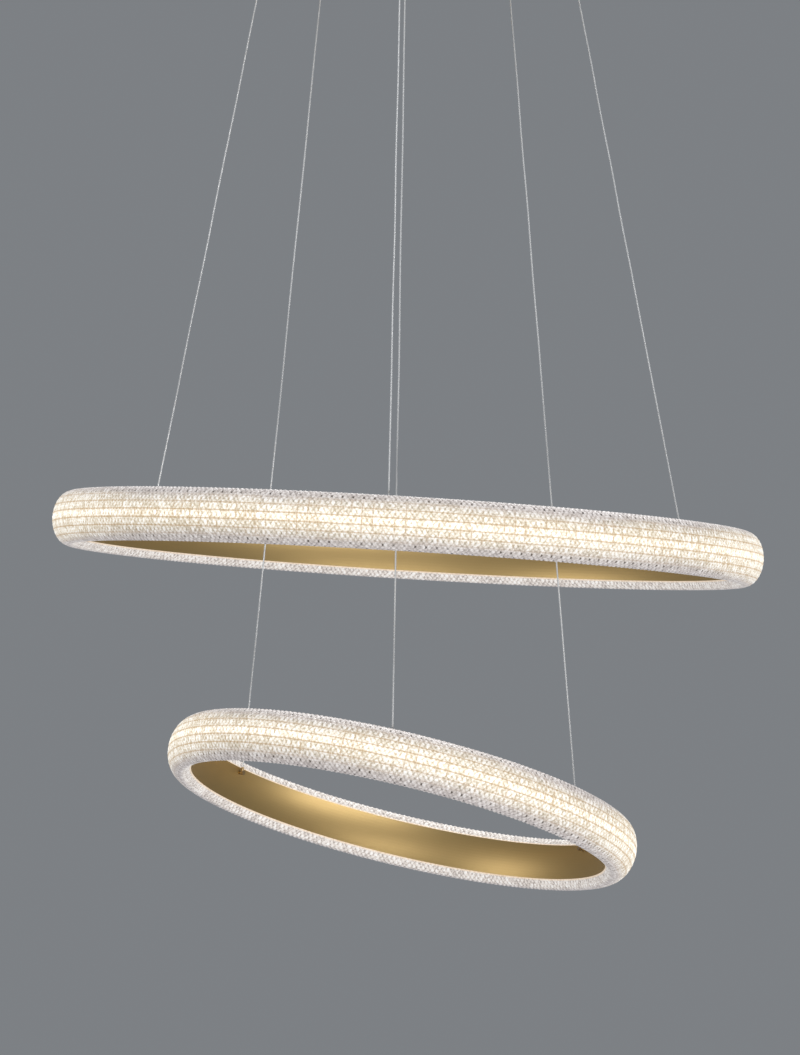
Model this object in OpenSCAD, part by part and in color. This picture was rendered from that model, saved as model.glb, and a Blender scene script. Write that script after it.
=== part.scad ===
// Pendant light with two glowing rings, hung from one ceiling canopy on six wires.
// Millimetres. The ceiling face of the bracket is z = 0, and the light hangs down from it.
// +X is to the right, +Y is away from the viewer. Each ring hangs at its own slant.

/* [Rings] */
// Outside diameter of the upper ring
upper_d = 600; // [520:5:680]
// Outside diameter of the lower ring
lower_d = 404; // [340:2:460]
// Ceiling down to the middle of the upper ring
upper_drop = 567; // [500:1:640]
// Ceiling down to the middle of the lower ring
lower_drop = 787; // [700:1:900]
// Sideways offset of the upper ring's middle
upper_shift = -4; // [-20:1:20]
// Sideways offset of the lower ring's middle
lower_shift = -9; // [-20:1:20]
// How far the upper ring's right side hangs down, in degrees
upper_roll_angle = 3.5; // [0:0.1:8]
// How far the lower ring's right side hangs down, in degrees
lower_roll_angle = 13.4; // [0:0.1:16]
// How far the lower ring's far side hangs down, in degrees
lower_pitch_angle = 10; // [0:0.5:12]

/* [Ring section] */
// Height of a ring's section
ring_h = 45; // [40:0.5:50]
// Depth of a ring's section, from its outer face to its inner lips
ring_t = 23; // [21:0.5:26]
// Depth of the outer curve, from the outer face to the crown
crown_t = 15; // [13:0.5:17]
// Height of the metal band between the lips
gold_h = 30; // [26:0.5:33]
// How deep the metal band is dished
gold_dish = 2; // [1:0.1:2.5]
// Wall of the diffuser
shell_t = 2.2; // [1.8:0.1:2.6]
// Depth of the grooves between the rows of beads
bead_groove = 0.5; // [0.2:0.1:0.8]
// Rows of beads across the section
bead_rows = 18; // [14:2:24]
// Wall of the channel behind the metal band
web_t = 1.8; // [1.4:0.1:2.2]
// Thickness of the channel's flanges
flange_t = 1.6; // [1.2:0.1:2]
// Height of the hooks that the diffuser's lips snap over
hook_h = 2.5; // [1.5:0.1:3]
// Thickness of those hooks
hook_t = 1.2; // [1:0.1:1.6]
// Gap where the channel's two ends meet
seam_w = 0.4; // [0.2:0.1:1]

/* [Light strip] */
// Width of the flexible circuit board
board_w = 10; // [8:0.5:11]
// Thickness of the flexible circuit board
board_t = 0.4; // [0.3:0.1:0.6]
// Width of the glowing line on the board
glow_w = 3; // [2:0.5:5]
// Height of the glowing line above the board
glow_t = 0.8; // [0.5:0.1:1.2]
// Diameter of the feed leads in the channel
feed_d = 1.2; // [1:0.1:1.4]

/* [Wires] */
// Diameter of a jacketed suspension wire
wire_d = 1.5; // [1.2:0.1:1.8]
// Position of the left wire round its ring, in degrees
left_angle = 144; // [138:1:150]
// Position of the near wire round its ring, in degrees
near_angle = -93.5; // [-100:0.5:-86]
// Position of the right wire round its ring, in degrees
right_angle = 30; // [24:1:36]
// Distance of the upper ring's grippers from the outside of the canopy
upper_grip_in = 19.5; // [18:0.5:32]
// Distance of the lower ring's grippers from the outside of the canopy
lower_grip_in = 83; // [76:0.5:86]
// Length of the right wire's last stretch, which shortens as its ring is levelled
tail_len = 140; // [120:1:160]

/* [Wire ends] */
// Ball on each stud
ball_d = 2; // [1.8:0.1:2.4]
// Depth of the ball's middle, from the ring's outer face
ball_in = 25.2; // [25:0.1:27]
// Height of the balls above the ring's middle
ball_z = 11; // [10:0.1:11.4]
// Neck between ball and collar
neck_d = 1; // [0.8:0.1:1.2]
// Collar of a stud
collar_d = 3.2; // [2.8:0.1:3.4]
// Shank of a stud
shank_d = 2.4; // [2:0.1:2.6]
// Nut behind the channel, across its corners
stud_nut_d = 4.4; // [4:0.1:4.5]
// Thickness of that nut
stud_nut_h = 1.6; // [1.2:0.1:1.8]
// Head of a wire end, round the ball
head_d = 3.6; // [3.4:0.1:4.2]
// Sleeve of a wire end, round the wire
sleeve_d = 2.4; // [2.2:0.1:2.8]
// Length of that sleeve, from the middle of the ball
sleeve_len = 5; // [4.5:0.1:6]

/* [Canopy] */
// Outside diameter of the canopy
canopy_d = 350; // [346:1:400]
// Height of the canopy
canopy_h = 45; // [44:0.5:60]
// Wall of the canopy
canopy_t = 1.5; // [1.2:0.1:2]
// Floor of the canopy
floor_t = 2; // [1.5:0.1:3]
// Rounding of the canopy's lower edge
canopy_r = 5; // [4:0.5:6]
// Diameter of the screws in the canopy's side
side_screw_d = 3.9; // [3:0.1:4.5]
// Knurled head of those screws
side_head_d = 9; // [8:0.5:11]
// Length of that head
side_head_h = 6; // [4:0.5:8]
// Depth of those screws below the ceiling
side_screw_z = 10; // [9:0.5:12]

/* [Ceiling bracket] */
// Diameter of the bracket's plate
plate_d = 230; // [224:1:260]
// Thickness of the plate, its arms and its tabs
plate_t = 2; // [1.5:0.1:3]
// Width of the arms that reach the canopy's side
arm_w = 30; // [24:1:40]
// Width of the tabs at the ends of the arms
tab_w = 16; // [12:1:18]
// How far the tabs reach down
tab_h = 18; // [16:1:24]
// Hole for the house cable
cable_hole_d = 40; // [30:1:44]
// Diameter of the circle of ceiling screw holes
bolt_circle_d = 200; // [196:1:206]
// Ceiling screw holes
bolt_hole_d = 5.5; // [4:0.1:6.5]

/* [Drivers] */
// Length of a driver's case
driver_l = 110; // [90:1:112]
// Width of a driver's case
driver_w = 38; // [30:1:40]
// Height of a driver's case
driver_h = 24; // [20:1:26]
// Distance of each driver's middle from the bracket's middle
driver_y = 45; // [43:1:48]
// Length of the ears that a driver is screwed up by
ear_l = 12; // [10:1:14]
// Thickness of the ears
ear_t = 2.5; // [2:0.1:3]
// Width of the ears
ear_w = 16; // [12:1:20]
// Diameter of the small screws
small_screw_d = 3; // [2.5:0.1:3.5]
// Diameter of the leads in the canopy
lead_d = 2; // [1.5:0.1:2.5]

/* [Grippers] */
// Diameter of a gripper's barrel
barrel_d = 9; // [8:0.5:10]
// Barrel below the canopy's floor
barrel_down = 14; // [13:0.5:18]
// Barrel above the canopy's outer floor face
barrel_up = 12; // [11:0.5:14]
// Flange that covers each hole
flange_d = 16; // [15:0.5:18]
// Height of that flange
flange_h = 4; // [3:0.5:6]
// Nut above the floor, across its corners
grip_nut_d = 17; // [15:0.5:18]
// Thickness of that nut
grip_nut_h = 4; // [3:0.5:5]
// Diameter of the release nose
nose_d = 5.6; // [5:0.1:6]
// How far the nose stands out of the barrel
nose_out = 5; // [4:0.5:7]
// How far the nose can be pushed in
nose_stroke = 2.5; // [1.5:0.1:3]
// Bore that a wire runs through
wire_bore_d = 2.2; // [2:0.1:2.6]
// Mouth of the release nose, where a wire comes out at a slant
mouth_d = 4.2; // [3.6:0.1:4.6]

/* [Hidden] */

ROUND = 48;
SMALL = 24;
fit_gap = 0.2;
snug = 0.05;
cut = 1;

// A ring is its outer radius, sideways offset, drop, roll and pitch.
UPPER = [upper_d / 2, upper_shift, upper_drop, upper_roll_angle, 0];
LOWER = [lower_d / 2, lower_shift, lower_drop, lower_roll_angle, -lower_pitch_angle];
TURNS = [left_angle, near_angle, right_angle];

half_h = ring_h / 2;
half_gold = gold_h / 2;
web_end = half_gold - flange_t;
lip_run = (ring_t - crown_t) / sqrt(1 - pow(gold_h / ring_h, 2));
lip_end = 180 - asin(gold_h / ring_h);
wall_end = 180 - asin(half_gold / (half_h - shell_t));

// Where the channel and the diffuser have their seams, in degrees round the ring
channel_seam_angle = -60;
diffuser_seam_angle = -114;
board_break_angle = 1.5;
joiner_half_angle = 5;
rivet_step_angle = 3;
rivet_d = 2;
rivet_head_d = 3.4;
rivet_head_h = 0.7;
joiner_t = 1.4;

stud_hole_d = shank_d + 2 * snug;
land_x = -ring_t + gold_dish + web_t;
land_half = board_w / 2 + 1.5;
seat_x = dish_x(ball_z) + 0.15;
back_x = web_back_x(ball_z) - 0.35;
feed_x = land_x + board_t + snug + feed_d / 2 + 0.3;
feed_z = ball_z - 2;
post_d = feed_d + 0.8;
stud_tip_x = back_x + snug + stud_nut_h + 1.8;

canopy_ri = canopy_d / 2 - canopy_t;
grip_hole_d = barrel_d + 2 * fit_gap;
mouth_in = 1.5;
wire_top_z = -canopy_h - barrel_down - nose_out + mouth_in;
socket_d = ball_d + 0.3;
wire_in = sleeve_len - 2.4;
connector_len = 9;
connector_d = 4.4;
wire_over = 2.4;
nose_len = nose_out + 3;
arm_turns = [90, 210, 330];
screw_head_d = 6;
screw_head_h = 2;
block_x = driver_l / 2 - 10;
block_l = 30;
block_w = 20;
block_h = 16;
clamp_x = -34;
clamp_span = 24;
clamp_t = 2.5;
earth_x = -62;
lead_z = -14;
lead_step = 12;
lower_lead_bend = [-75, -60, -22];

// Points of a ring's section, measured from the ring's outer radius
function dish_x(z) = -ring_t + gold_dish * (1 - pow(z / half_gold, 2));
function run(w) = abs(w) <= 90 ? crown_t : lip_run;
function shell_point(w, b) = [-crown_t + (run(w) - b) * cos(w), (half_h - b) * sin(w)];
function wall_in_x(z) = -crown_t - (lip_run - shell_t) * sqrt(1 - pow(z / (half_h - shell_t), 2));
function web_back_x(z) =
    land_x + (dish_x(web_end) + web_t - land_x) * (abs(z) - land_half) / (web_end - land_half);

// Points of a rounded lower corner of the canopy, from its floor up to its side
function canopy_corner(r, bottom, corner) =
    [for (i = [0:6]) [r - corner + corner * sin(15 * i), bottom + corner - corner * cos(15 * i)]];

// Places in the room
function rolled(p, a) = [p[0] * cos(a) + p[2] * sin(a), p[1], -p[0] * sin(a) + p[2] * cos(a)];
function pitched(p, a) = [p[0], p[1] * cos(a) - p[2] * sin(a), p[1] * sin(a) + p[2] * cos(a)];
function in_room(ring, p) = [ring[1], 0, -ring[2]] + pitched(rolled(p, ring[3]), ring[4]);
function ball_at(ring, turn) =
    in_room(ring, [(ring[0] - ball_in) * cos(turn), (ring[0] - ball_in) * sin(turn), ball_z]);
function grip_r(ring) = canopy_d / 2 - (ring == UPPER ? upper_grip_in : lower_grip_in);
function exit_at(ring, turn) = [grip_r(ring) * cos(turn), grip_r(ring) * sin(turn), wire_top_z];
function wire_len(ring, turn) = norm(exit_at(ring, turn) - ball_at(ring, turn));

module hang(ring) {
    translate([ring[1], 0, -ring[2]])
        rotate([ring[4], 0, 0])
            rotate([0, ring[3], 0])
                children();
}

// Stands a child's z axis on the line from a to b, with its origin at a.
module along(a, b) {
    d = b - a;
    translate(a)
        rotate([0, acos(d[2] / norm(d)), atan2(d[1], d[0])])
            children();
}

module on_wire(ring, turn) {
    along(ball_at(ring, turn), exit_at(ring, turn)) children();
}

// Puts a child at each gripper, with z = 0 on the outside of the canopy's floor.
module at_grips() {
    for (ring = [UPPER, LOWER])
        for (turn = TURNS)
            at_grip(ring, turn) children();
}

module at_grip(ring, turn) {
    rotate([0, 0, turn]) translate([grip_r(ring), 0, -canopy_h]) children();
}

// Turns a child's z axis outwards along the ring's radius, at a height above its middle.
module outwards(turn, z) {
    rotate([0, 0, turn])
        translate([0, 0, z])
            rotate([0, 90, 0])
                children();
}

module rod(d, from, to) {
    translate([0, 0, from]) cylinder(d = d, h = to - from, $fn = SMALL);
}

module band(ring, points, from = 0, turn = 360) {
    rotate([0, 0, from])
        rotate_extrude(angle = turn, $fn = ROUND)
            translate([ring[0], 0])
                polygon(points);
}

module ceiling_bracket() {
    color("lightgray")
        difference() {
            union() {
                translate([0, 0, -plate_t]) cylinder(d = plate_d, h = plate_t, $fn = ROUND);
                for (turn = arm_turns)
                    rotate([0, 0, turn]) {
                        translate([0, -arm_w / 2, -plate_t]) cube([canopy_ri - arm_w / 2, arm_w, plate_t]);
                        translate([canopy_ri - arm_w / 2 - cut, -tab_w / 2, -plate_t])
                            cube([arm_w / 2 + cut - fit_gap, tab_w, plate_t]);
                        translate([canopy_ri - fit_gap - plate_t, -tab_w / 2, -tab_h])
                            cube([plate_t, tab_w, tab_h]);
                    }
            }
            translate([0, 0, -plate_t - cut])
                cylinder(d = cable_hole_d, h = plate_t + 2 * cut, $fn = ROUND);
            for (turn = [45:90:315])
                rotate([0, 0, turn]) translate([bolt_circle_d / 2, 0, 0])
                    rod(bolt_hole_d, -plate_t - cut, cut);
            for (turn = arm_turns)
                outwards(turn, -side_screw_z)
                    rod(side_screw_d + 2 * snug, canopy_ri - 3 * plate_t, canopy_ri);
            driver_screw_places() rod(small_screw_d + 2 * snug, -plate_t - cut, cut);
            clamp_screw_places() rod(small_screw_d + 2 * snug, -plate_t - cut, cut);
            translate([earth_x, 0, 0]) rod(small_screw_d + 1 + 2 * snug, -plate_t - cut, cut);
        }
}

module canopy_shell() {
    outer = canopy_d / 2;
    inside = canopy_corner(canopy_ri, -canopy_h + floor_t, canopy_r - canopy_t);
    color("goldenrod")
        difference() {
            rotate_extrude($fn = ROUND)
                polygon(concat(
                    [[0, -canopy_h]],
                    canopy_corner(outer, -canopy_h, canopy_r),
                    [[outer, 0], [canopy_ri, 0]],
                    [for (i = [6:-1:0]) inside[i]],
                    [[0, -canopy_h + floor_t]]
                ));
            at_grips() rod(grip_hole_d, -cut, floor_t + cut);
            for (turn = arm_turns)
                outwards(turn, -side_screw_z) rod(side_screw_d + 0.7, canopy_ri - cut, outer + cut);
        }
}

module canopy_side_screws() {
    color("goldenrod")
        for (turn = arm_turns)
            outwards(turn, -side_screw_z) {
                rod(side_screw_d, canopy_ri - 2.5 * plate_t, canopy_d / 2 + side_head_h / 2);
                difference() {
                    rod(side_head_d, canopy_d / 2 + snug, canopy_d / 2 + snug + side_head_h);
                    for (groove = [0:30:330])
                        rotate([0, 0, groove])
                            translate([side_head_d / 2, 0, 0])
                                rod(1, canopy_d / 2 + snug + 1, canopy_d / 2 + side_head_h + cut);
                }
            }
}

module driver_screw_places() {
    for (side = [-1, 1])
        for (end = [-1, 1])
            translate([end * (driver_l + ear_l) / 2, side * driver_y, 0]) children();
}

// Case with a raised lid panel and an ear at each end, screwed up to the bracket.
module driver(side) {
    top = -plate_t - snug;
    edge = 2;
    translate([0, side * driver_y, top])
        difference() {
            union() {
                translate([-driver_l / 2, -driver_w / 2, -driver_h + edge])
                    cube([driver_l, driver_w, driver_h - edge]);
                translate([-driver_l / 2 + edge, -driver_w / 2 + edge, -driver_h])
                    cube([driver_l - 2 * edge, driver_w - 2 * edge, edge]);
                translate([-driver_l / 2 - ear_l, -ear_w / 2, -ear_t])
                    cube([driver_l + 2 * ear_l, ear_w, ear_t]);
            }
            for (end = [-1, 1])
                translate([end * (driver_l + ear_l) / 2, 0, 0])
                    rod(small_screw_d + 2 * snug, -ear_t - cut, cut);
        }
}

module upper_ring_driver() {
    color("white") driver(-1);
}

module lower_ring_driver() {
    color("white") driver(1);
}

module driver_screws() {
    color("silver")
        driver_screw_places() {
            under = -plate_t - 2 * snug - ear_t;
            rod(small_screw_d, under - screw_head_h / 2, -snug);
            rod(screw_head_d, under - screw_head_h, under);
        }
}

module terminal_block() {
    color("ivory")
        translate([block_x - block_l / 2, -block_w / 2, -plate_t - snug - block_h])
            difference() {
                cube([block_l, block_w, block_h]);
                terminal_places()
                    rod(small_screw_d + 2 * snug, -cut, block_h / 2);
            }
}

module terminal_places() {
    for (pole = [0.5:1:2.5])
        for (side = [0.25, 0.75])
            translate([block_l * pole / 3, block_w * side, 0]) children();
}

module terminal_screws() {
    color("goldenrod")
        translate([block_x - block_l / 2, -block_w / 2, -plate_t - snug - block_h])
            terminal_places() rod(small_screw_d, 0.5, block_h / 2 - snug);
}

module earth_screw() {
    stud = small_screw_d + 1;
    color("goldenrod")
        translate([earth_x, 0, 0]) {
            rod(stud, -plate_t - 8, -snug);
            translate([0, 0, -plate_t - snug - 3]) cylinder(d = 2 * stud, h = 3, $fn = 6);
        }
}

module clamp_screw_places() {
    for (side = [-1, 1])
        translate([clamp_x, side * clamp_span / 2, 0]) children();
}

// Saddle that grips the house cable where it leaves the ceiling hole.
module cable_clamp() {
    width = 8;
    arch = 10;
    top = -plate_t - snug;
    color("ivory")
        translate([clamp_x, 0, 0])
            difference() {
                union() {
                    translate([-width / 2, -clamp_span / 2 - 5, top - clamp_t])
                        cube([width, clamp_span + 10, clamp_t]);
                    translate([-width / 2, 0, top])
                        rotate([0, 90, 0])
                            cylinder(d = arch + 2 * clamp_t, h = width, $fn = ROUND);
                }
                translate([-width, 0, top])
                    rotate([0, 90, 0])
                        cylinder(d = arch, h = 2 * width, $fn = ROUND);
                translate([-width, -arch - clamp_t, top])
                    cube([2 * width, 2 * (arch + clamp_t), arch + clamp_t]);
                for (side = [-1, 1])
                    translate([0, side * clamp_span / 2, 0])
                        rod(small_screw_d + 2 * snug, top - clamp_t - cut, cut);
            }
}

module clamp_screws() {
    color("silver")
        clamp_screw_places() {
            under = -plate_t - 2 * snug - clamp_t;
            rod(small_screw_d, under - screw_head_h / 2, -snug);
            rod(screw_head_d, under - screw_head_h, under);
        }
}

// Leads from the terminal block to the two drivers.
module mains_leads() {
    color("saddlebrown")
        for (side = [-1, 1])
            for (x = [block_x - lead_step / 2, block_x + lead_step / 2])
                translate([x, side * (block_w / 2 + snug), lead_z + 2])
                    rotate([-90 * side, 0, 0])
                        rod(lead_d, 0, driver_y - driver_w / 2 - block_w / 2 - 2 * snug);
}

// A lead from one end of a driver's case to the top of a connector, past any bends between.
module output_lead(end, side, ring, turn, bends = []) {
    start = [end * (driver_l / 2 + snug), side * driver_y, lead_z];
    bend = [end * (driver_l / 2 + lead_step), side * driver_y, lead_z];
    over = barrel_up + connector_len + lead_d / 2 + fit_gap + 2 * snug;
    top = [grip_r(ring) * cos(turn), grip_r(ring) * sin(turn), -canopy_h + over];
    points = concat([start, bend], bends, [top]);
    for (i = [1:len(points) - 1]) {
        along(points[i - 1], points[i]) rod(lead_d, 0, norm(points[i] - points[i - 1]));
        translate(points[i]) sphere(d = lead_d + 2 * fit_gap, $fn = SMALL);
    }
}

module output_leads() {
    color("firebrick") {
        output_lead(-1, -1, UPPER, near_angle);
        output_lead(1, -1, UPPER, right_angle);
        output_lead(-1, 1, LOWER, near_angle, [lower_lead_bend]);
        output_lead(1, 1, LOWER, right_angle);
    }
}

// Threaded barrel with a flange under the canopy's floor and a bore for the release nose.
module gripper_bodies() {
    nose_r = nose_d / 2 + snug;
    room_top = -barrel_down + nose_len - nose_out + nose_stroke + 0.5;
    color("goldenrod")
        at_grips()
            rotate_extrude($fn = ROUND)
                polygon([
                    [nose_r, -barrel_down],
                    [barrel_d / 2 - 0.5, -barrel_down],
                    [barrel_d / 2, -barrel_down + 0.5],
                    [barrel_d / 2, -flange_h],
                    [flange_d / 2 - 1, -flange_h / 2],
                    [flange_d / 2, -flange_h / 4],
                    [flange_d / 2, -snug],
                    [barrel_d / 2, -snug],
                    [barrel_d / 2, barrel_up - 0.5],
                    [barrel_d / 2 - 0.5, barrel_up],
                    [wire_bore_d / 2, barrel_up],
                    [wire_bore_d / 2, room_top],
                    [nose_r, room_top]
                ]);
}

module gripper_nuts() {
    color("silver")
        at_grips()
            difference() {
                translate([0, 0, floor_t + snug]) cylinder(d = grip_nut_d, h = grip_nut_h, $fn = 6);
                rod(barrel_d + 2 * snug, 0, barrel_up);
            }
}

module wire_connectors() {
    base = barrel_up + snug;
    color("ivory")
        at_grips()
            difference() {
                rod(connector_d, base, base + connector_len);
                rod(wire_d + 2 * snug, base - cut, base + wire_over);
            }
}

// Sprung nose of a gripper: pushed in, it lets the wire slip through.
module release(ring, turn) {
    low = -barrel_down - nose_out;
    color("goldenrod")
        at_grip(ring, turn)
            rotate_extrude($fn = ROUND)
                polygon([
                    [mouth_d / 2, low],
                    [nose_d / 2 - 0.4, low],
                    [nose_d / 2, low + 0.4],
                    [nose_d / 2, low + nose_len],
                    [wire_bore_d / 2, low + nose_len],
                    [wire_bore_d / 2, low + 2 * mouth_in]
                ]);
}

// A wire from its end fitting, or from the top of its tail, up into the nose's mouth.
module wire(ring, turn, from) {
    color("gainsboro")
        on_wire(ring, turn) rod(wire_d, from, wire_len(ring, turn) - fit_gap);
}

// The stretches inside the grippers, which end in the connectors.
module wire_tops() {
    color("gainsboro")
        at_grips() rod(wire_d, wire_top_z + canopy_h, barrel_up + wire_over - fit_gap);
}

module wire_tail(ring) {
    color("gainsboro")
        on_wire(ring, right_angle) rod(wire_d, wire_in, tail_len);
}

// End fitting of a wire: a head that snaps over a ball, and a sleeve crimped on the wire.
module wire_end(ring, turn) {
    color("peru")
        difference() {
            union() {
                hang(ring) outwards(turn, ball_z)
                    rod(head_d, ring[0] - ball_in - 1.7, ring[0] - ball_in + 1);
                on_wire(ring, turn) rod(sleeve_d, 0, sleeve_len);
            }
            hang(ring) outwards(turn, ball_z) {
                translate([0, 0, ring[0] - ball_in]) sphere(d = socket_d, $fn = ROUND);
                rod(ball_d - 0.1, ring[0] - ball_in, ring[0] - ball_in + ball_d);
            }
            on_wire(ring, turn) rod(wire_d + 2 * snug, wire_in - fit_gap, sleeve_len + cut);
        }
}

module wire_ends(ring) {
    wire_end(ring, left_angle);
    wire_end(ring, near_angle);
}

// Rolled channel: the dished band that shows, two flanges and two hooks.
module channel(ring) {
    hook_x = wall_in_x(half_gold + hook_h) + fit_gap;
    side = [
        [-ring_t, half_gold],
        [hook_x, half_gold],
        [hook_x, half_gold + hook_h],
        [hook_x + hook_t, half_gold + hook_h],
        [hook_x + hook_t, web_end],
        [web_back_x(web_end), web_end],
        [land_x, land_half]
    ];
    face = [for (i = [1:11]) [dish_x(half_gold * (i / 6 - 1)), half_gold * (i / 6 - 1)]];
    outline = concat(side, [for (i = [6:-1:0]) [side[i][0], -side[i][1]]], face);
    color("goldenrod")
        hang(ring)
            difference() {
                band(ring, outline);
                rotate([0, 0, channel_seam_angle])
                    translate([ring[0] - 2 * ring_t, -seam_w / 2, -half_h])
                        cube([2 * ring_t, seam_w, ring_h]);
                for (turn = TURNS)
                    outwards(turn, ball_z) {
                        rod(stud_hole_d, ring[0] - ring_t - cut, ring[0] + land_x + cut);
                        rod(collar_d + 0.3, ring[0] - ring_t - cut, ring[0] + seat_x);
                        rod(stud_nut_d + 0.3, ring[0] + back_x, ring[0] + land_x + cut);
                    }
                rivet_places() rod(rivet_d + 2 * snug, ring[0] - ring_t - cut, ring[0] + land_x + cut);
            }
}

module rivet_places() {
    for (step = [-1.2, -0.5, 0.5, 1.2])
        outwards(channel_seam_angle + rivet_step_angle * step, -joiner_z()) children();
}

function joiner_z() = (land_half + web_end) / 2;

// Strap behind the web that holds the channel's two ends in line.
module joiner(ring) {
    low = land_half + 0.3;
    high = web_end - 0.5;
    strap = [
        [web_back_x(low) + snug, -low],
        [web_back_x(high) + snug, -high],
        [web_back_x(high) + snug + joiner_t, -high],
        [web_back_x(low) + snug + joiner_t, -low]
    ];
    color("silver")
        hang(ring)
            difference() {
                band(ring, strap, channel_seam_angle - joiner_half_angle, 2 * joiner_half_angle);
                rivet_places() rod(rivet_d + 2 * snug, ring[0] - ring_t, ring[0] + land_x + 2 * joiner_t);
            }
}

module joiner_rivets(ring) {
    front = dish_x(joiner_z() + rivet_head_d / 2) - snug;
    back = web_back_x(joiner_z() - rivet_head_d / 2) + joiner_t + 2 * snug;
    color("goldenrod")
        hang(ring)
            rivet_places() {
                rod(rivet_d, ring[0] + front - rivet_head_h / 2, ring[0] + back + rivet_head_h / 2);
                rod(rivet_head_d, ring[0] + front - rivet_head_h, ring[0] + front);
                rod(rivet_head_d, ring[0] + back, ring[0] + back + rivet_head_h);
            }
}

module ball_studs(ring) {
    collar_h = 0.9;
    color("goldenrod")
        hang(ring)
            for (turn = TURNS)
                outwards(turn, ball_z) {
                    translate([0, 0, ring[0] - ball_in]) sphere(d = ball_d, $fn = ROUND);
                    rod(neck_d, ring[0] - ball_in, ring[0] + seat_x);
                    rod(collar_d, ring[0] + seat_x - snug - collar_h, ring[0] + seat_x - snug);
                    rod(shank_d, ring[0] + seat_x - collar_h, ring[0] + stud_tip_x);
                }
}

module stud_nuts(ring) {
    color("silver")
        hang(ring)
            for (turn = TURNS)
                outwards(turn, ball_z)
                    translate([0, 0, ring[0] + back_x + snug])
                        difference() {
                            cylinder(d = stud_nut_d, h = stud_nut_h, $fn = 6);
                            rod(stud_hole_d, -cut, stud_nut_h + cut);
                        }
}

module led_board(ring) {
    strip = [
        [land_x + snug, -board_w / 2],
        [land_x + snug + board_t, -board_w / 2],
        [land_x + snug + board_t, board_w / 2],
        [land_x + snug, board_w / 2]
    ];
    color("white")
        hang(ring) band(ring, strip, channel_seam_angle + board_break_angle / 2, 360 - board_break_angle);
}

module led_line(ring) {
    base = land_x + 2 * snug + board_t;
    line = [for (i = [0:6]) [base + glow_t * sin(30 * i), -glow_w / 2 * cos(30 * i)]];
    color("khaki")
        hang(ring) band(ring, line, channel_seam_angle + board_break_angle, 360 - 2 * board_break_angle);
}

// Leads along the channel, from two of the studs to the ends of the board.
module feed_leads(ring) {
    color("ivory")
        hang(ring) {
            feed_lead(ring, near_angle, channel_seam_angle - near_angle - board_break_angle, 1);
            feed_lead(ring, right_angle, right_angle - channel_seam_angle - board_break_angle, -1);
        }
}

// A lead from beside a stud's tip to a post on the board's solder pad.
module feed_lead(ring, turn, sweep, way) {
    start = (shank_d / 2 + 0.2) / ring[0] * 180 / PI;
    r = ring[0] + feed_x;
    rotate([0, 0, turn]) {
        rotate([0, 0, way > 0 ? start : -sweep])
            rotate_extrude(angle = sweep - start, $fn = ROUND)
                translate([r, feed_z]) circle(d = feed_d, $fn = SMALL);
        rotate([0, 0, way * sweep])
            translate([r + 0.25, 0, 0])
                rod(post_d, board_w / 2 - 2, feed_z + post_d / 2);
    }
}

// Clear moulded shell, closed in a round, with a row of beads between each two grooves.
module diffuser(ring) {
    steps = 2 * bead_rows;
    outside = [
        for (i = [0:steps])
            shell_point(-lip_end + 2 * lip_end * i / steps, i % 2 == 0 && i > 0 && i < steps ? bead_groove : 0)
    ];
    inside = [for (i = [0:24]) shell_point(wall_end - 2 * wall_end * i / 24, shell_t)];
    color("whitesmoke", 0.6)
        hang(ring)
            difference() {
                band(ring, concat(outside, inside));
                rotate([0, 0, diffuser_seam_angle])
                    translate([ring[0] - 2 * ring_t, -seam_w / 2, -half_h])
                        cube([3 * ring_t, seam_w, ring_h]);
            }
}

ceiling_bracket();
canopy_shell();
canopy_side_screws();
upper_ring_driver();
lower_ring_driver();
driver_screws();
terminal_block();
terminal_screws();
earth_screw();
cable_clamp();
clamp_screws();
mains_leads();
output_leads();
gripper_bodies();
gripper_nuts();
wire_connectors();
wire_tops();
release(UPPER, left_angle);  // upper_left_release
release(UPPER, near_angle);  // upper_near_release
release(UPPER, right_angle);  // upper_right_release
release(LOWER, left_angle);  // lower_left_release
release(LOWER, near_angle);  // lower_near_release
release(LOWER, right_angle);  // lower_right_release
wire(UPPER, left_angle, wire_in);  // upper_left_wire
wire(UPPER, near_angle, wire_in);  // upper_near_wire
wire(UPPER, right_angle, tail_len);  // upper_right_wire
wire_tail(UPPER);  // upper_right_wire_tail
wire(LOWER, left_angle, wire_in);  // lower_left_wire
wire(LOWER, near_angle, wire_in);  // lower_near_wire
wire(LOWER, right_angle, tail_len);  // lower_right_wire
wire_tail(LOWER);  // lower_right_wire_tail
wire_ends(UPPER);  // upper_wire_ends
wire_end(UPPER, right_angle);  // upper_right_wire_end
wire_ends(LOWER);  // lower_wire_ends
wire_end(LOWER, right_angle);  // lower_right_wire_end
channel(UPPER);  // upper_channel
ball_studs(UPPER);  // upper_ball_studs
stud_nuts(UPPER);  // upper_stud_nuts
joiner(UPPER);  // upper_joiner
joiner_rivets(UPPER);  // upper_joiner_rivets
led_board(UPPER);  // upper_led_board
led_line(UPPER);  // upper_led_line
feed_leads(UPPER);  // upper_feed_leads
diffuser(UPPER);  // upper_diffuser
channel(LOWER);  // lower_channel
ball_studs(LOWER);  // lower_ball_studs
stud_nuts(LOWER);  // lower_stud_nuts
joiner(LOWER);  // lower_joiner
joiner_rivets(LOWER);  // lower_joiner_rivets
led_board(LOWER);  // lower_led_board
led_line(LOWER);  // lower_led_line
feed_leads(LOWER);  // lower_feed_leads
diffuser(LOWER);  // lower_diffuser
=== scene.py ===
import math

import bpy
from mathutils import Matrix, Vector


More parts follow.
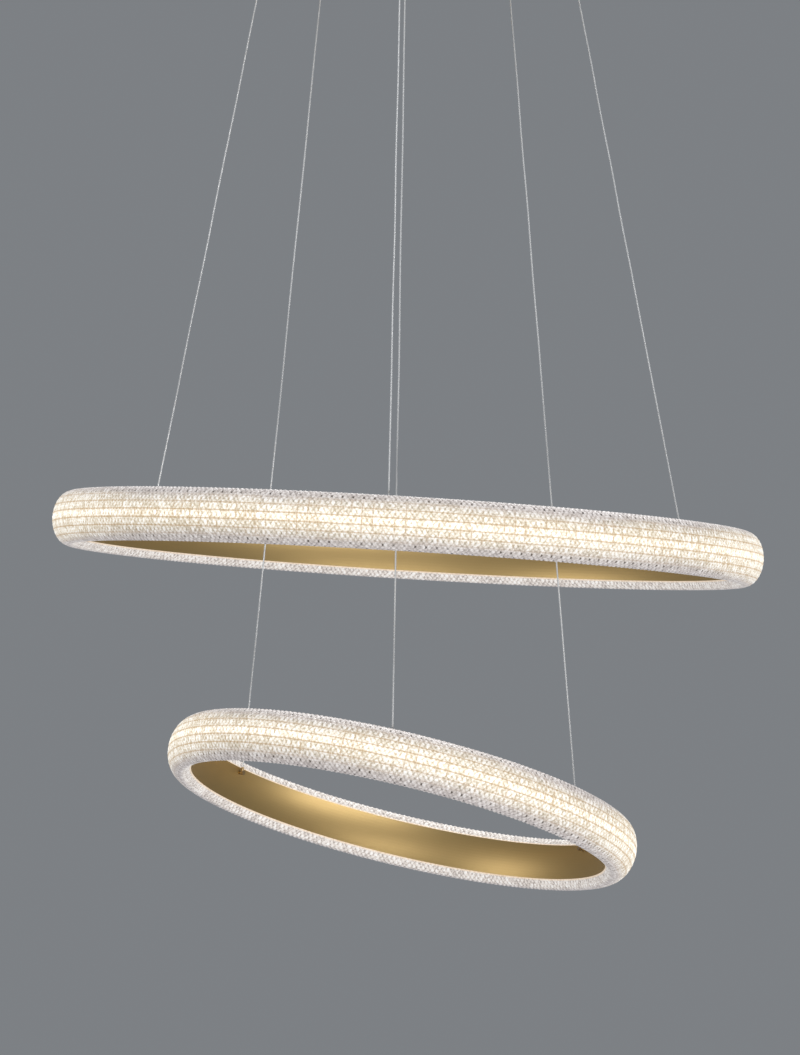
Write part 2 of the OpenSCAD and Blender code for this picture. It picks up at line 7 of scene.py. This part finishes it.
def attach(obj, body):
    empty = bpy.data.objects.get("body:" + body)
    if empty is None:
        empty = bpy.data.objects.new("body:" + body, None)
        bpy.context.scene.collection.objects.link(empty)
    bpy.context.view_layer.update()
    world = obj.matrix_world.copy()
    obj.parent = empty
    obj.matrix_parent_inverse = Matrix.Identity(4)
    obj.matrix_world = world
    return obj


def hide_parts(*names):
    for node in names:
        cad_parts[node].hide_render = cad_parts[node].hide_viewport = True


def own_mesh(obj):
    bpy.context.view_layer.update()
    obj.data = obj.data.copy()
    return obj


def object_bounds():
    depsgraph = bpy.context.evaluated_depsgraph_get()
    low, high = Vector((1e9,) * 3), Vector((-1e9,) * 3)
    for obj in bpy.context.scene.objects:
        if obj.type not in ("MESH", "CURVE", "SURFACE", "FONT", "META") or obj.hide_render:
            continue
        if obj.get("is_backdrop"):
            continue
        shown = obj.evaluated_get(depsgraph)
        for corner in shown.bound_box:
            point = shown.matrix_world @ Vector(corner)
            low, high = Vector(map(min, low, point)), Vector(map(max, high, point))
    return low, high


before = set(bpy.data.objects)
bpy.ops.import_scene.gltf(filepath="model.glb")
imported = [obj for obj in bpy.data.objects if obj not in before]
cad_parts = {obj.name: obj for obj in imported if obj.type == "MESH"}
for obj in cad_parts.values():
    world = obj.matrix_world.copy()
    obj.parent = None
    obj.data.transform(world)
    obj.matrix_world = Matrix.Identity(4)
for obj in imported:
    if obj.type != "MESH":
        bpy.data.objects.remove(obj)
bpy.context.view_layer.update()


# Camera
# The photograph is taken from far off with a long lens, from just below the upper ring and
# tilted slightly up.
camera_data = bpy.data.cameras.new("camera")
camera_data.sensor_fit = "HORIZONTAL"
camera_data.sensor_width = 36
camera_data.lens = 360
camera_data.clip_end = 60
camera = bpy.data.objects.new("camera", camera_data)
camera.location = (-0.0107, -6.733, -0.865)
camera.rotation_euler = (math.radians(92.62), 0, 0)
bpy.context.collection.objects.link(camera)
bpy.context.scene.camera = camera


# Suspension wires
# Six taut wires, each a twisted core of tinned strands in a clear jacket. A ring's wires run
# from its ball studs up into the gripper noses, at the same places as the CAD wires.
def hung(ring):
    """Where a ring hangs and how it slants."""
    shift, drop, roll, pitch = (-0.004, 0.567, 3.5, 0) if ring == "upper" else (-0.009, 0.787, 13.4, -10)
    slant = Matrix.Rotation(math.radians(pitch), 4, "X") @ Matrix.Rotation(math.radians(roll), 4, "Y")
    return Matrix.Translation((shift, 0, -drop)) @ slant


def node_material(name):
    """A new node material, its node tree and its shader."""
    material = bpy.data.materials.new(name)
    material.use_nodes = True
    tree = material.node_tree
    return material, tree, tree.nodes["Principled BSDF"]


def value(tree, operation, a, b=None, c=None):
    """A Math node; a, b and c are numbers or sockets."""
    node = tree.nodes.new("ShaderNodeMath")
    node.operation = operation
    for i, x in enumerate((a, b, c)):
        if isinstance(x, bpy.types.NodeSocket):
            tree.links.new(x, node.inputs[i])
        elif x is not None:
            node.inputs[i].default_value = x
    return node.outputs[0]


jacket, tree, shader = node_material("clear_jacket")
shader.inputs["Base Color"].default_value = (0.86, 0.87, 0.88, 1)
shader.inputs["Alpha"].default_value = 0.4
coords = tree.nodes.new("ShaderNodeTexCoord")
drift = tree.nodes.new("ShaderNodeTexNoise")
drift.inputs["Scale"].default_value = 140
tree.links.new(coords.outputs["Object"], drift.inputs["Vector"])
tree.links.new(value(tree, "MULTIPLY_ADD", drift.outputs["Fac"], 0.2, 0.12), shader.inputs["Roughness"])

# The core's outer strands, and how many places a strand moves on round it in a metre. The
# painted grooves turn faster than the core's lobes do.
strands_round, twist = 6, 90
strands, tree, shader = node_material("tinned_strands")
shader.inputs["Metallic"].default_value = 0.55
shader.inputs["Roughness"].default_value = 0.35
coords = tree.nodes.new("ShaderNodeTexCoord")
split = tree.nodes.new("ShaderNodeSeparateXYZ")
tree.links.new(coords.outputs["UV"], split.inputs["Vector"])
lay = value(tree, "MULTIPLY_ADD", split.outputs["Y"], twist, split.outputs["X"])
groove = value(tree, "PINGPONG", value(tree, "MULTIPLY", lay, strands_round), 0.5)
# Painted shade darkens the grooves between the strands.
shade = tree.nodes.new("ShaderNodeValToRGB")
shade.color_ramp.elements[0].color = (0.42, 0.42, 0.43, 1)
shade.color_ramp.elements[1].color = (0.95, 0.95, 0.94, 1)
shade.color_ramp.elements[1].position = 0.35
tree.links.new(groove, shade.inputs["Fac"])
tree.links.new(shade.outputs["Color"], shader.inputs["Base Color"])


def wire(name, low, high, wave=0):
    """Jacket and strands from low to high, with a faint wave, and the line that they follow."""
    run = high - low
    along = run.normalized()
    side = along.cross(Vector((0, 1, 0))).normalized()
    front = along.cross(side)
    ring_spacing = 0.002
    steps = max(8, round(run.length / ring_spacing))
    path = []
    points, faces, uvs, slots = [], [], [], []
    for i in range(steps + 1):
        s = i / steps
        swing = wave * math.sin(math.pi * s) * math.sin(7 * math.pi * s + 1)
        path.append(low + run * s + (side + 0.6 * front) * swing)
    # The core with its lobes, in the strands' material slot, then the round jacket over it
    for radius, sides, lobes, slot in ((0.00047, 18, 0.00006, 1), (0.00075, 10, 0, 0)):
        first = len(points)
        for i, centre in enumerate(path):
            for k in range(sides):
                a = 2 * math.pi * k / sides
                r = radius + lobes * math.cos(strands_round * a)
                if lobes:
                    a += 2 * math.pi * (run.length * i / steps) * twist / strands_round
                points.append(centre + side * (r * math.cos(a)) + front * (r * math.sin(a)))
        for i in range(steps):
            for k in range(sides):
                n = (k + 1) % sides
                row, over = first + i * sides, first + (i + 1) * sides
                faces.append((row + k, row + n, over + n, over + k))
                v, w = (run.length * j / steps for j in (i, i + 1))
                uvs.append(((k / sides, v), ((k + 1) / sides, v), ((k + 1) / sides, w), (k / sides, w)))
                slots.append(slot)
        for i in (0, steps):
            cap = [first + i * sides + k for k in range(sides)]
            faces.append(tuple(cap) if i else tuple(reversed(cap)))
            uvs.append(tuple((0, 0) for _ in cap))
            slots.append(slot)
    mesh = bpy.data.meshes.new(name)
    mesh.from_pydata(points, [], faces)
    layer = mesh.uv_layers.new(name="UVMap")
    flat = [uv for face in uvs for uv in face]
    layer.data.foreach_set("uv", [x for uv in flat for x in uv])
    mesh.materials.append(jacket)
    mesh.materials.append(strands)
    mesh.polygons.foreach_set("material_index", slots)
    mesh.polygons.foreach_set("use_smooth", [True] * len(faces))
    piece = bpy.data.objects.new(name, mesh)
    bpy.context.collection.objects.link(piece)
    return piece, path


# How far the wire's last bit reaches from the ball, the gripper mouths' height, the length
# above them, how far a ring goes up, and the room between the bits of a wire
foot_start, foot_end, grip_height, top_length, lift = 0.0026, 0.0145, -0.0625, 0.0317, 0.12
foot_room, mouth_room, thickness = 0.0003, 0.0002, 0.0015

for ring, ball_circle, grip_circle, tail_length, tilt in (
    ("upper", 0.2748, 0.1555, 0.18, 7),
    ("lower", 0.1768, 0.092, 0.36, 16.5),
):
    turns = {
        place: Matrix.Rotation(math.radians(degrees), 4, "Z")
        for place, degrees in (("left", 144), ("near", -93.5), ("right", 30))
    }
    balls = {place: hung(ring) @ turn @ Vector((ball_circle, 0, 0.011)) for place, turn in turns.items()}
    for place, turn in turns.items():
        ball, mouth = balls[place], turn @ Vector((grip_circle, 0, grip_height))
        way = (mouth - ball).normalized()
        # The wire's last bit is held in the wire end's sleeve, stands 9.5 mm out of it and goes
        # with it, so the wire bends above the sleeve when the ring moves.
        foot = ball + way * foot_end
        end, _ = wire(f"{ring}_{place}_wire_foot", ball + way * foot_start, foot - way * foot_room)
        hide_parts(f"{ring}_right_wire_tail" if place == "right" else f"{ring}_{place}_wire")
        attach(end, f"{ring}_ring" if place == "right" else f"{ring}_hanger")
        low = ball + way * tail_length if place == "right" else foot
        high = mouth - way * mouth_room
        piece, path = wire(f"{ring}_{place}_wire_drawn", low, high, wave=0.0002)
        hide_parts(f"{ring}_{place}_wire")
        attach(piece, "canopy")
        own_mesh(piece)
        if place == "right":
            # The ring tilts about its left and near balls, and how far this wire's foot rises then is
            # worked out.
            # The wire's lower part is drawn from the foot up to the tail's start and goes with the
            # hanger.
            arm = foot - balls["left"]
            rise = Matrix.Rotation(math.radians(tilt), 3, balls["near"] - balls["left"]) @ arm - arm
            tail, path = wire(f"{ring}_right_tail_drawn", foot, low)
            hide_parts(f"{ring}_right_wire", f"{ring}_right_wire_tail")
            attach(tail, f"{ring}_hanger")
            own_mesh(tail)
        # Inside the gripper the wire stands upright, up into its connector.
        top = mouth + Vector((0, 0, top_length))
        piece, path = wire(f"{ring}_{place}_wire_top", mouth, top)
        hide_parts("wire_tops")
        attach(piece, "canopy")


# Diffusers
# Clear moulded shells covered in staggered beads, drawn opaque. The strip inside lights a band round the
# outside, cream white with painted tan shade between the beads, and the rest is milky lilac grey with a
# faint painted glow. Painted highlights on the beads and painted shade in the gaps go into the same
# emission.
beads, tree, shader = node_material("beaded_diffuser")
coords = tree.nodes.new("ShaderNodeTexCoord")
split = tree.nodes.new("ShaderNodeSeparateXYZ")
tree.links.new(coords.outputs["UV"], split.inputs["Vector"])
round_ring, over_section = split.outputs["X"], split.outputs["Y"]


def from_line(distance):
    """How far a place is from the nearest whole number, 0 to 0.5."""
    return value(tree, "PINGPONG", distance, 0.5)


def ramp(factor, stops):
    """A colour ramp over the factor. A stop's colour is three numbers, or one for a grey."""
    node = tree.nodes.new("ShaderNodeValToRGB")
    while len(node.color_ramp.elements) < len(stops):
        node.color_ramp.elements.new(0.5)
    for element, (position, colour) in zip(node.color_ramp.elements, stops):
        element.position = position
        element.color = (*colour, 1) if isinstance(colour, tuple) else (colour, colour, colour, 1)
    tree.links.new(factor, node.inputs["Fac"])
    return node.outputs["Color"]


def mixed(a, b, factor, blend="MIX"):
    """Colour a blended with b. Each is four numbers or a socket."""
    node = tree.nodes.new("ShaderNodeMix")
    node.data_type = "RGBA"
    node.blend_type = blend
    for socket, x in ((node.inputs[0], factor), (node.inputs[6], a), (node.inputs[7], b)):
        if isinstance(x, bpy.types.NodeSocket):
            tree.links.new(x, socket)
        else:
            socket.default_value = x
    return node.outputs[2]


def speckle(scale, along=2.6, detail=2.0):
    """Noise over the shell, with one unit to a row's height both ways at along = 2.6."""
    spread = tree.nodes.new("ShaderNodeMapping")
    spread.inputs["Scale"].default_value = (along, 1, 1)
    tree.links.new(coords.outputs["UV"], spread.inputs["Vector"])
    noise = tree.nodes.new("ShaderNodeTexNoise")
    noise.inputs["Scale"].default_value = scale
    noise.inputs["Detail"].default_value = detail
    tree.links.new(spread.outputs["Vector"], noise.inputs["Vector"])
    return noise.outputs["Fac"]


def staggered(pitch, rows, shift=0):
    """Distance from the nearest cell's middle, squared, and the cell's own random tone. The
    cells have this pitch round the ring, and every so many rows they are staggered by half."""
    slope = value(tree, "DIVIDE", over_section, 2 * rows)
    along = value(tree, "DIVIDE", value(tree, "ADD", round_ring, shift), pitch)
    diagonals = tree.nodes.new("ShaderNodeCombineXYZ")
    tree.links.new(value(tree, "ADD", along, slope), diagonals.inputs["X"])
    tree.links.new(value(tree, "SUBTRACT", along, slope), diagonals.inputs["Y"])
    cells = tree.nodes.new("ShaderNodeTexVoronoi")
    cells.inputs["Scale"].default_value = 1
    cells.inputs["Randomness"].default_value = 0
    tree.links.new(diagonals.outputs["Vector"], cells.inputs["Vector"])
    tone = tree.nodes.new("ShaderNodeSeparateColor")
    tree.links.new(cells.outputs["Color"], tone.inputs["Color"])
    return value(tree, "POWER", cells.outputs["Distance"], 2), tone.outputs["Red"]


from_bead, bead_tone = staggered(0.5, 1)
from_pair, _ = staggered(1, 2, shift=0.25)
# Distance from the middle row, 0 on the outside and 1 at the lips
half_rows = 12
height = value(tree, "DIVIDE", over_section, half_rows)
height = value(tree, "ABSOLUTE", value(tree, "SUBTRACT", height, 1))
wander = value(tree, "ADD", height, value(tree, "MULTIPLY_ADD", speckle(0.09, 0.8), 0.26, -0.13))
# Painted light: the lit band is painted wider at the left and right of each ring, where one looks along
# the ring.
room = tree.nodes.new("ShaderNodeSeparateXYZ")
tree.links.new(coords.outputs["Object"], room.inputs["Vector"])
sideways, forwards = (value(tree, "POWER", room.outputs[axis], 2) for axis in "XY")
sides = value(tree, "DIVIDE", sideways, value(tree, "ADD", sideways, forwards))
wander = value(tree, "SUBTRACT", wander, ramp(sides, [(0.55, 0), (0.97, 0.16)]))
fine, patches = speckle(1.9), speckle(0.27, 1.3)
# A bead's own random tone, a painted highlight on its domed middle with painted shade towards its edges,
# and fine painted glitter together
tone = value(tree, "MULTIPLY_ADD", bead_tone, 0.2, value(tree, "MULTIPLY", fine, 0.8))
tone = value(tree, "ADD", tone, value(tree, "MULTIPLY_ADD", from_bead, -0.6, 0.13))

milky = ramp(tone, [(0.28, (0.4, 0.36, 0.35)), (0.52, (0.64, 0.58, 0.56)), (0.78, (0.95, 0.9, 0.88))])
# Painted shade: near-black dots in the gaps between the beads of the milky grey.
painted_gap_shade = mixed(ramp(from_pair, [(0.29, 0), (0.37, 1)]), ramp(from_bead, [(0.16, 0), (0.3, 1)]), 1,
             "MULTIPLY")
painted_gap_shade = mixed(painted_gap_shade, ramp(patches, [(0.38, 0.2), (0.54, 1)]), 1, "MULTIPLY")
milky = mixed(milky, (0.04, 0.035, 0.04, 1), painted_gap_shade)
# Painted light: the lips are painted brighter, as lit by the strip from inside.
lips = ramp(tone, [(0.32, (0.42, 0.37, 0.34)), (0.54, (0.82, 0.75, 0.69)), (0.74, (1, 0.98, 0.95))])
milky = mixed(milky, lips, ramp(height, [(0.74, 0), (0.8, 0.9)]))
# Painted highlight: a cream orange line along each lip's edge.
milky = mixed(milky, (1, 0.78, 0.55, 1), ramp(height, [(0.96, 0), (0.975, 0.7)]))
# In the lit band the beads are painted brightest in their middles, with painted tan shade in lines
# between them.
cream = ramp(tone, [(0.34, (0.54, 0.45, 0.32)), (0.54, (0.82, 0.74, 0.61)), (0.68, (1, 0.97, 0.91))])
rows = ramp(from_line(value(tree, "MULTIPLY_ADD", over_section, 0.5, 0.5)), [(0.04, 0.65), (0.13, 0)])
columns = mixed(ramp(from_line(value(tree, "ADD", round_ring, 0.25)), [(0.03, 0.6), (0.08, 0)]),
                ramp(patches, [(0.44, 0), (0.56, 1)]), 1, "MULTIPLY")
cream = mixed(cream, (0.46, 0.3, 0.14, 1), mixed(rows, columns, 1, "SCREEN"))
glow = ramp(wander, [(0.2, 1), (0.34, 0.7), (0.46, 0.2), (0.6, 0)])
shown = mixed(milky, cream, glow)
tree.links.new(shown, shader.inputs["Emission Color"])
# Painted light: the glow is painted stronger along the middle row, on the lips and, inside the lit band,
# at the left and right of each ring.
painted_glow_boost = ramp(height, [(0.03, 0.32), (0.1, 0.11), (0.3, 0), (0.74, 0), (0.8, 0.13)])
painted_glow_boost = mixed(painted_glow_boost, mixed(glow, ramp(sides, [(0.6, 0), (0.97, 0.19)]), 1, "MULTIPLY"), 1, "ADD")
strength = value(tree, "ADD", value(tree, "MULTIPLY_ADD", glow, 0.19, 0.42), painted_glow_boost)
tree.links.new(strength, shader.inputs["Emission Strength"])
# The base colour carries the same painted light and shade, dimmed.
tree.links.new(mixed(shown, (0.6, 0.6, 0.6, 1), 1, "MULTIPLY"), shader.inputs["Base Color"])
shader.inputs["Roughness"].default_value = 0.25
shader.inputs["IOR"].default_value = 1.49
dome = tree.nodes.new("ShaderNodeBump")
dome.inputs["Strength"].default_value = 0.5
dome.inputs["Distance"].default_value = 0.0012
rise = value(tree, "SUBTRACT", value(tree, "MULTIPLY", fine, 0.3), from_bead)
tree.links.new(rise, dome.inputs["Height"])
tree.links.new(dome.outputs["Normal"], shader.inputs["Normal"])


def outline(depth, count):
    """Points of the section, this deep in the shell, evenly spaced from the lower lip round to
    the upper one."""
    half_height, half_gold, bulge, lip_run = 0.0225, 0.015, 0.015, 0.008
    tall, crown = half_height - depth, bulge - depth
    inner = lip_run / math.sqrt(1 - (half_gold / half_height) ** 2) - depth
    end = math.pi - math.asin(half_gold / tall)
    fine, half = [], 400
    for i in range(2 * half + 1):
        w = end * (i / half - 1)
        run = crown if abs(w) <= math.pi / 2 else inner
        fine.append(Vector((-bulge + run * math.cos(w), tall * math.sin(w))))
    lengths = [0]
    for a, b in zip(fine, fine[1:]):
        lengths.append(lengths[-1] + (b - a).length)
    points, k = [], 0
    for i in range(count + 1):
        wanted = lengths[-1] * i / count
        while k < 2 * half - 1 and lengths[k + 1] < wanted:
            k += 1
        part = (wanted - lengths[k]) / (lengths[k + 1] - lengths[k])
        points.append(fine[k].lerp(fine[k + 1], min(1, max(0, part))))
    return points


def diffuser(ring, radius, around):
    """A pitch of two beads is spun, sunk between its beads and copied round the ring."""
    rows, per_row, per_bead, inner_steps = 2 * half_rows, 2, 8, 4
    wall, sink = 0.0022, 0.0022  # between four beads the surface lies half the sink deep
    outer = outline(0, rows * per_row)
    points = outer + outline(wall, inner_steps)[::-1]
    # The moulding is bent round and meets at a seam, near the front on the left.
    seam, gap = math.radians(-114), 0.0004 / radius
    pitch = (2 * math.pi - gap) / around
    bpy.ops.object.select_all(action="DESELECT")
    bpy.ops.mesh.primitive_circle_add(vertices=len(points), calc_uvs=False)
    piece = bpy.context.object
    piece.name = f"{ring}_beaded_diffuser"
    for vertex, p in zip(piece.data.vertices, points):
        vertex.co = (radius + p.x, 0, p.y)
    bpy.ops.object.mode_set(mode="EDIT")
    bpy.ops.mesh.select_all(action="SELECT")
    bpy.ops.mesh.spin(steps=per_bead, angle=-pitch, center=(0, 0, 0), axis=(0, 0, 1))
    bpy.ops.object.mode_set(mode="OBJECT")
    places = []
    for vertex in piece.data.vertices:
        turn = math.atan2(vertex.co.y, vertex.co.x)
        here = Vector((math.hypot(vertex.co.x, vertex.co.y) - radius, vertex.co.z))
        j = min(range(len(points)), key=lambda k: (points[k] - here).length_squared)
        u, v = turn / pitch, j / per_row
        if j >= len(outer):
            # The inner face has no beads. Its points take the last row or the first one.
            v = rows if j < len(outer) + inner_steps - 1 else 0
        places.append((u, v))
        if 0 < j < len(outer) - 1:
            step = outer[j + 1] - outer[j - 1]
            cell = [(d + 0.5) % 1 - 0.5 for d in (2 * u + v / 2, 2 * u - v / 2)]
            here -= Vector((step.y, -step.x)).normalized() * sink * (cell[0] ** 2 + cell[1] ** 2)
            run = radius + here.x
            vertex.co = (run * math.cos(turn), run * math.sin(turn), here.y)
    layer = piece.data.uv_layers.new(name="UVMap")
    for loop, corner in zip(piece.data.loops, layer.data):
        corner.uv = places[loop.vertex_index]
    turner = bpy.data.objects.new("turner", None)
    turner.rotation_euler.z = pitch
    bpy.context.collection.objects.link(turner)
    copies = piece.modifiers.new("copies", "ARRAY")
    copies.count = around
    copies.use_relative_offset = False
    copies.use_object_offset = True
    copies.offset_object = turner
    copies.offset_u = 1
    copies.use_merge_vertices = True
    copies.merge_threshold = 0.00001
    bpy.ops.object.modifier_apply(modifier="copies")
    bpy.data.objects.remove(turner)
    bpy.ops.object.mode_set(mode="EDIT")
    bpy.ops.mesh.select_all(action="SELECT")
    bpy.ops.mesh.fill_holes(sides=0)
    bpy.ops.mesh.normals_make_consistent(inside=False)
    bpy.ops.object.mode_set(mode="OBJECT")
    bpy.ops.object.shade_smooth_by_angle(angle=math.radians(80))
    piece.matrix_world = hung(ring) @ Matrix.Rotation(seam + gap / 2, 4, "Z")
    bpy.ops.object.transform_apply()
    piece.data.materials.append(beads)
    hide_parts(f"{ring}_diffuser")
    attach(piece, f"{ring}_ring")


diffuser("upper", 0.3, 210)
diffuser("lower", 0.202, 141)


# Ceiling bracket
# Pressed steel with a white powder coat, whose fine orange peel shows at a glancing angle.
def surface(name, colour, metallic, roughness, grain, relief, drift=0.08):
    """Paint, plastic or metal: colour that drifts slightly, uneven polish and a fine grain."""
    material, tree, shader = node_material(name)
    coords = tree.nodes.new("ShaderNodeTexCoord")
    slow, fast = (tree.nodes.new("ShaderNodeTexNoise") for _ in range(2))
    slow.inputs["Scale"].default_value = 9
    slow.inputs["Detail"].default_value = 4
    fast.inputs["Scale"].default_value = grain
    fast.inputs["Detail"].default_value = 2
    for noise in (slow, fast):
        tree.links.new(coords.outputs["Object"], noise.inputs["Vector"])
    shade = tree.nodes.new("ShaderNodeValToRGB")
    shade.color_ramp.elements[0].position = 0.3
    shade.color_ramp.elements[0].color = (*[x * (1 - drift) for x in colour], 1)
    shade.color_ramp.elements[1].position = 0.7
    shade.color_ramp.elements[1].color = (*[min(1, x * (1 + drift)) for x in colour], 1)
    tree.links.new(slow.outputs["Fac"], shade.inputs["Fac"])
    tree.links.new(shade.outputs["Color"], shader.inputs["Base Color"])
    spread = 0.16
    polish = value(tree, "MULTIPLY_ADD", fast.outputs["Fac"], spread, roughness - spread / 2)
    tree.links.new(polish, shader.inputs["Roughness"])
    shader.inputs["Metallic"].default_value = metallic
    bump = tree.nodes.new("ShaderNodeBump")
    bump.inputs["Strength"].default_value = 0.4
    bump.inputs["Distance"].default_value = relief
    tree.links.new(fast.outputs["Fac"], bump.inputs["Height"])
    tree.links.new(bump.outputs["Normal"], shader.inputs["Normal"])
    return material


def finish(material, *nodes):
    """Gives CAD nodes this material."""
    for name in nodes:
        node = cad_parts[name]
        node.data.materials.clear()
        node.data.materials.append(material)


finish(surface("white_powder_coat", (0.56, 0.56, 0.55), 0, 0.5, 900, 0.0002), "ceiling_bracket")


# Gold lacquer
# Satin gold on the rings' dished bands and on the canopy: an even warm metal.
gold = surface("satin_gold", (0.53, 0.372, 0.158), 0.9, 0.46, 1200, 0.00005, drift=0.04)
finish(gold, "upper_channel", "lower_channel", "canopy_shell")


# Brass turned parts
# Grippers, noses, ball studs, rivets and screws, with a little more shine than the bands.
brass = surface("turned_brass", (0.68, 0.5, 0.24), 1.0, 0.26, 2500, 0.00003)
finish(brass, "canopy_side_screws", "gripper_bodies", "terminal_screws", "earth_screw",
       "upper_ball_studs", "lower_ball_studs", "upper_joiner_rivets", "lower_joiner_rivets",
       *(f"{ring}_{place}_release" for ring in ("upper", "lower") for place in ("left", "near", "right")))


# Zinc-plated steel
# Nuts, small screws and the joiners behind the bands' seams.
zinc = surface("zinc_plate", (0.55, 0.56, 0.58), 1.0, 0.32, 1800, 0.00004, drift=0.12)
finish(zinc, "gripper_nuts", "driver_screws", "clamp_screws", "upper_stud_nuts", "lower_stud_nuts",
       "upper_joiner", "lower_joiner")


# Drivers
# White moulded cases with a fine spark-eroded grain.
finish(surface("white_case", (0.8, 0.8, 0.79), 0, 0.5, 1500, 0.0001),
       "upper_ring_driver", "lower_ring_driver")


# Terminal block, cable clamp and connectors
# Ivory nylon, slightly waxy.
ivory = surface("ivory_nylon", (0.74, 0.7, 0.58), 0, 0.38, 700, 0.00005)
finish(ivory, "terminal_block", "cable_clamp", "wire_connectors", "upper_feed_leads", "lower_feed_leads")


# Leads
# Soft PVC insulation, brown from the terminal block and red to the wires.
finish(surface("brown_insulation", (0.16, 0.07, 0.035), 0, 0.4, 600, 0.00008), "mains_leads")
finish(surface("red_insulation", (0.4, 0.03, 0.025), 0, 0.4, 600, 0.00008), "output_leads")


# Wire ends
# Dark bronzed end fittings, which snap over the ball studs.
finish(surface("dark_bronze", (0.42, 0.3, 0.16), 0.9, 0.4, 2200, 0.00004),
       "upper_wire_ends", "lower_wire_ends", "upper_right_wire_end", "lower_right_wire_end")


# Light strips
# White flexible boards, each with a line of warm light behind the diffuser.
finish(surface("white_board", (0.82, 0.82, 0.8), 0, 0.3, 1200, 0.00003),
       "upper_led_board", "lower_led_board")
lit, tree, shader = node_material("warm_light")
coords = tree.nodes.new("ShaderNodeTexCoord")
noise = tree.nodes.new("ShaderNodeTexNoise")
noise.inputs["Scale"].default_value = 300
tree.links.new(coords.outputs["Object"], noise.inputs["Vector"])
shade = tree.nodes.new("ShaderNodeValToRGB")
shade.color_ramp.elements[0].color = (1, 0.78, 0.46, 1)
shade.color_ramp.elements[1].color = (1, 0.9, 0.7, 1)
tree.links.new(noise.outputs["Fac"], shade.inputs["Fac"])
tree.links.new(shade.outputs["Color"], shader.inputs["Base Color"])
tree.links.new(shade.outputs["Color"], shader.inputs["Emission Color"])
shader.inputs["Emission Strength"].default_value = 3
finish(lit, "upper_led_line", "lower_led_line")


# Stage
# A pale floor far below the light, a plain grey surround and large soft lamps.
bpy.ops.mesh.primitive_plane_add(size=200, location=(0, 0, -10))
floor = bpy.context.object
floor.name = "floor"
paint, tree, shader = node_material("floor_paint")
shader.inputs["Base Color"].default_value = (0.95, 0.95, 0.96, 1)
shader.inputs["Roughness"].default_value = 0.9
floor.data.materials.append(paint)
floor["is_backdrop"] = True

world = bpy.data.worlds.new("surround")
world.use_nodes = True
background = world.node_tree.nodes["Background"]
background.inputs["Color"].default_value = (0.205, 0.217, 0.232, 1)
background.inputs["Strength"].default_value = 1
bpy.context.scene.world = world

aim = Vector((0, 0, -0.65))
for name, place, width, depth, power in (
    ("front_lamp", (1.6, -6.9, 4.6), 7.0, 2.0, 180),
    ("key_lamp", (-3.9, -1.4, 3.0), 3.0, 2.4, 80),
    ("fill_lamp", (2.4, -4.6, -2.6), 7.0, 1.6, 195),
    ("top_lamp", (0.4, 1.6, 1.8), 2.0, 2.0, 45),
):
    lamp_data = bpy.data.lights.new(name, "AREA")
    lamp_data.shape = "RECTANGLE"
    lamp_data.size = width
    lamp_data.size_y = depth
    lamp_data.energy = power
    lamp = bpy.data.objects.new(name, lamp_data)
    lamp.location = place
    lamp.rotation_euler = (aim - Vector(place)).to_track_quat("-Z", "Y").to_euler()
    bpy.context.collection.objects.link(lamp)

bpy.context.scene.view_settings.view_transform = "Standard"

low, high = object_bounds()
